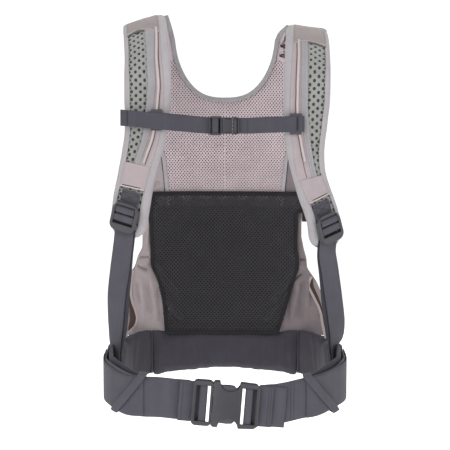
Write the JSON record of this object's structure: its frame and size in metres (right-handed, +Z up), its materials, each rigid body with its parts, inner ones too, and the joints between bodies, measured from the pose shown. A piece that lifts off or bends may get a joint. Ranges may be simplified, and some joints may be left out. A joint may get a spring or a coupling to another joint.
{
  "type": "soft baby carrier",
  "caption": "Soft structured baby carrier: body panel with mesh seat, padded shoulder straps with ladder locks, sliding chest strap, padded waist belt with side-release buckle.",
  "frame": {"origin": "centre of the flat inner face of the padded waist belt, where the carrier rests on the wearer", "axes": "+Z up, +Y from the wearer out through the body panel, +X to the wearer's side shown on the right"},
  "size_m": [0.3004, 0.2459, 0.4948],
  "materials": {
    "webbing": "woven slate webbing",
    "belt_fabric": "matte woven",
    "buckle_plastic": "satin",
    "spacer_mesh": "open spacer mesh",
    "black_mesh": "open net",
    "taupe_fabric": "matte woven",
    "grey_binding": "woven tape",
    "pad_mesh": "open mesh over foam",
    "pink_fabric": "matte woven"
  },
  "bodies": {
    "carrier": {"anchor_webbing_left": "webbing", "anchor_webbing_right": "webbing", "belt_pad_center": "belt_fabric", "belt_pad_left": "belt_fabric", "belt_pad_right": "belt_fabric", "hood_loop_1": "black_mesh", "hood_loop_2": "black_mesh", "leg_binding_left": "pink_fabric", "leg_binding_right": "pink_fabric", "lining_binding_left": "grey_binding", "lining_binding_right": "grey_binding", "lower_webbing_left": "webbing", "lower_webbing_right": "webbing", "mesh_seat": "black_mesh", "mesh_seat_hem": "black_mesh", "mesh_seat_tab": "black_mesh", "neckline_binding": "grey_binding", "panel_lining": "spacer_mesh", "panel_shell": "taupe_fabric", "side_wing_left": "taupe_fabric", "side_wing_right": "taupe_fabric", "slider_panel_left": "pink_fabric", "slider_panel_right": "pink_fabric", "slider_rail_left": "pink_fabric", "slider_rail_right": "pink_fabric", "strap_pad_left": "pad_mesh", "strap_pad_right": "pad_mesh", "strap_patch_left": "pink_fabric", "strap_patch_right": "pink_fabric", "strap_tape_inner_left": "grey_binding", "strap_tape_inner_right": "grey_binding", "strap_tape_outer_left": "grey_binding", "strap_tape_outer_right": "grey_binding", "strap_yoke_left": "taupe_fabric", "strap_yoke_right": "taupe_fabric", "waist_socket": "buckle_plastic", "waist_socket_loop": "webbing", "waist_tail_left": "webbing", "waist_tail_right": "webbing", "waist_webbing_left": "webbing", "waist_webbing_right": "webbing"},
    "waist_plug": {"waist_plug": "buckle_plastic", "waist_plug_loop": "webbing"},
    "waist_latch_upper": {"waist_latch_upper": "buckle_plastic"},
    "waist_latch_lower": {"waist_latch_lower": "buckle_plastic"},
    "chest_strap": {"chest_clip_left": "buckle_plastic", "chest_clip_right": "buckle_plastic", "chest_webbing_left": "webbing", "chest_webbing_right": "webbing", "chest_socket": "buckle_plastic"},
    "chest_plug": {"chest_plug": "buckle_plastic", "chest_tail": "webbing"},
    "chest_latch_upper": {"chest_latch_upper": "buckle_plastic"},
    "chest_latch_lower": {"chest_latch_lower": "buckle_plastic"},
    "lock_left": {"ladder_lock_left": "buckle_plastic", "lock_webbing_left": "webbing"},
    "lock_right": {"ladder_lock_right": "buckle_plastic", "lock_webbing_right": "webbing"},
    "keeper_left": {"keeper_left": "webbing"},
    "keeper_right": {"keeper_right": "webbing"}
  },
  "joints": [
    {"name": "waist_buckle_slide", "type": "slide", "parent": "carrier", "child": "waist_plug", "axis": [-0.9969, 0, 0.0785], "range_m": [0, 0.038]},
    {"name": "waist_latch_upper_press", "type": "hinge", "parent": "waist_plug", "child": "waist_latch_upper", "pos_m": [-0.01043, -0.199, -0.00412], "axis": [0, 1, 0], "range_deg": [0, 8], "stiffness_Nm_per_rad": 0.3},
    {"name": "waist_latch_lower_press", "type": "hinge", "parent": "waist_plug", "child": "waist_latch_lower", "pos_m": [-0.01349, -0.199, -0.043], "axis": [0, -1, 0], "range_deg": [0, 8], "stiffness_Nm_per_rad": 0.3},
    {"name": "chest_strap_slide", "type": "slide", "parent": "carrier", "child": "chest_strap", "axis": [0, 0.0797, 0.9968], "range_m": [-0.03, 0.02]},
    {"name": "chest_buckle_slide", "type": "slide", "parent": "chest_strap", "child": "chest_plug", "axis": [-1, 0, 0], "range_m": [0, 0.018]},
    {"name": "chest_latch_upper_press", "type": "hinge", "parent": "chest_plug", "child": "chest_latch_upper", "pos_m": [-0.0017, -0.13604, 0.31262], "axis": [0, 0.9968, -0.0797], "range_deg": [0, 8], "stiffness_Nm_per_rad": 0.02},
    {"name": "chest_latch_lower_press", "type": "hinge", "parent": "chest_plug", "child": "chest_latch_lower", "pos_m": [-0.0017, -0.13706, 0.29986], "axis": [0, -0.9968, 0.0797], "range_deg": [0, 8], "stiffness_Nm_per_rad": 0.02},
    {"name": "lock_left_tilt", "type": "hinge", "parent": "carrier", "child": "lock_left", "pos_m": [-0.12108, -0.13495, 0.20207], "axis": [-0.9248, 0.2804, 0.2571], "range_deg": [0, 25]},
    {"name": "lock_right_tilt", "type": "hinge", "parent": "carrier", "child": "lock_right", "pos_m": [0.12587, -0.13377, 0.18873], "axis": [-0.8141, -0.4991, -0.2969], "range_deg": [0, 25]},
    {"name": "keeper_left_slide", "type": "hinge", "parent": "carrier", "child": "keeper_left", "pos_m": [-0.095, -0.1398, 0], "axis": [0, 0, 1], "range_deg": [-5, 5]},
    {"name": "keeper_right_slide", "type": "hinge", "parent": "carrier", "child": "keeper_right", "pos_m": [0.095, -0.1398, 0], "axis": [0, 0, 1], "range_deg": [-5, 5]}
  ],
  "couplings": [
    {"joint": "waist_latch_lower_press", "follows": "waist_latch_upper_press", "ratio": 1},
    {"joint": "chest_latch_lower_press", "follows": "chest_latch_upper_press", "ratio": 1}
  ]
}
